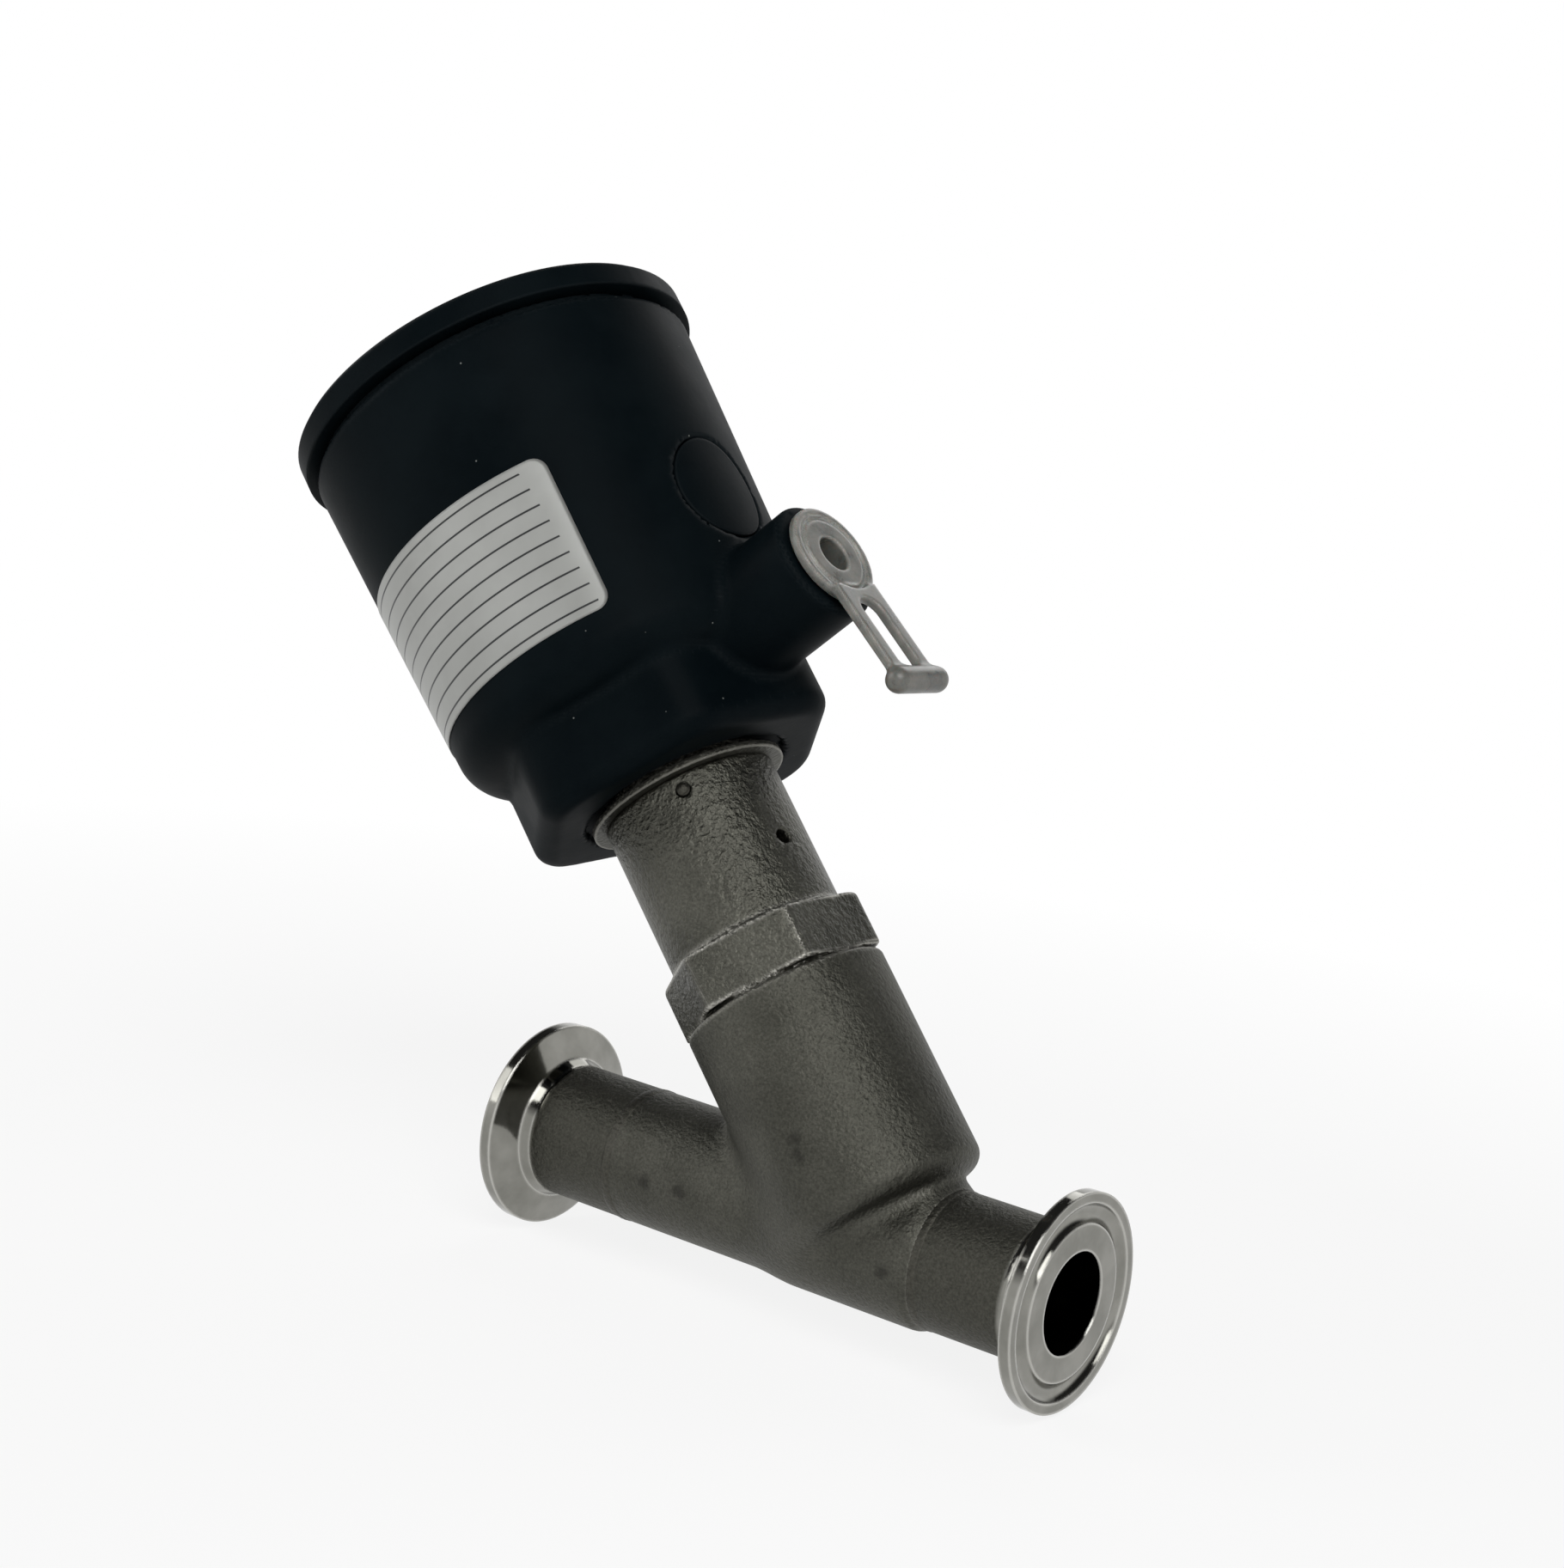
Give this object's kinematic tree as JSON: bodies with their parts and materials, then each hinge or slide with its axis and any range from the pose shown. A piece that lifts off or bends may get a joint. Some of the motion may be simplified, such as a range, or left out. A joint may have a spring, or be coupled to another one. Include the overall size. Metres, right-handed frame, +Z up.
{
  "type": "pneumatic angle-seat valve",
  "caption": "Pneumatic angle-seat valve: inclined body with two clamp ferrules, hex bonnet, spring-return piston actuator and plugged air port.",
  "frame": {"origin": "centre of the inlet ferrule's sealing face, on the pipe axis", "axes": "+X along the pipe, out of the inlet; +Z up; the stem leans back over the outlet in the XZ plane"},
  "size_m": [0.1623, 0.07, 0.16],
  "materials": {
    "cast_steel": "bead-blasted investment casting, dull grey with a fine grain",
    "polished_steel": "polished stainless steel",
    "machined_steel": "turned stainless steel",
    "spring_steel": "drawn spring wire",
    "white_seal": "filled fluoropolymer",
    "bronze": "machined bronze or brass",
    "black_rubber": "moulded rubber",
    "piston_plastic": "glass-filled polyamide",
    "indicator_plastic": "moulded amber plastic",
    "housing_plastic": "black glass-filled polyamide, fine satin",
    "clear_plastic": "clear moulded polycarbonate",
    "label_film": "silver-grey printed film, blank",
    "plug_plastic": "milky translucent polyethylene"
  },
  "bodies": {
    "valve": {"valve_body": "cast_steel", "inlet_ferrule": "polished_steel", "outlet_ferrule": "polished_steel", "bonnet": "cast_steel", "bonnet_gasket": "white_seal", "stem_scraper": "white_seal", "packing_spring": "spring_steel", "packing_washer": "machined_steel", "packing_base_ring": "white_seal", "packing_rings": "white_seal", "packing_top_ring": "white_seal", "gland_nut": "bronze", "stem_wiper": "black_rubber", "upper_guide_bush": "bronze", "collar_ring": "machined_steel", "locating_pin": "machined_steel", "neck_o_rings": "black_rubber", "snap_ring": "spring_steel"},
    "stem_set": {"stem": "machined_steel", "disc_holder": "machined_steel", "disc_seal": "white_seal", "disc_nut": "machined_steel", "piston": "piston_plastic", "piston_seal": "black_rubber", "piston_guide_ring": "white_seal", "piston_washer": "machined_steel", "piston_nut": "machined_steel", "indicator_rod": "indicator_plastic"},
    "actuator": {"outer_spring": "spring_steel", "inner_spring": "spring_steel", "actuator_housing": "housing_plastic", "cap": "housing_plastic", "cap_o_ring": "black_rubber", "cap_lock_ring": "spring_steel", "indicator_window": "clear_plastic", "air_port_insert": "bronze", "spare_port_cover": "housing_plastic", "vent_plug": "bronze", "label": "label_film"},
    "plug": {"port_plug": "plug_plastic"}
  },
  "joints": [
    {"name": "stem_lift", "type": "slide", "parent": "valve", "child": "stem_set", "axis": [-0.6613, 0, 0.7501], "range_m": [0, 0.008], "stiffness_N_per_m": 20000, "springref_m": -0.015, "deforming": ["outer_spring", "inner_spring"]},
    {"name": "actuator_turn", "type": "hinge", "parent": "valve", "child": "actuator", "pos_m": [-0.08992, 0, 0.06751], "axis": [-0.6613, 0, 0.7501], "continuous": true},
    {"name": "plug_pull", "type": "slide", "parent": "actuator", "child": "plug", "axis": [0.7501, 0, 0.6613], "range_m": [0, 0.014]}
  ]
}
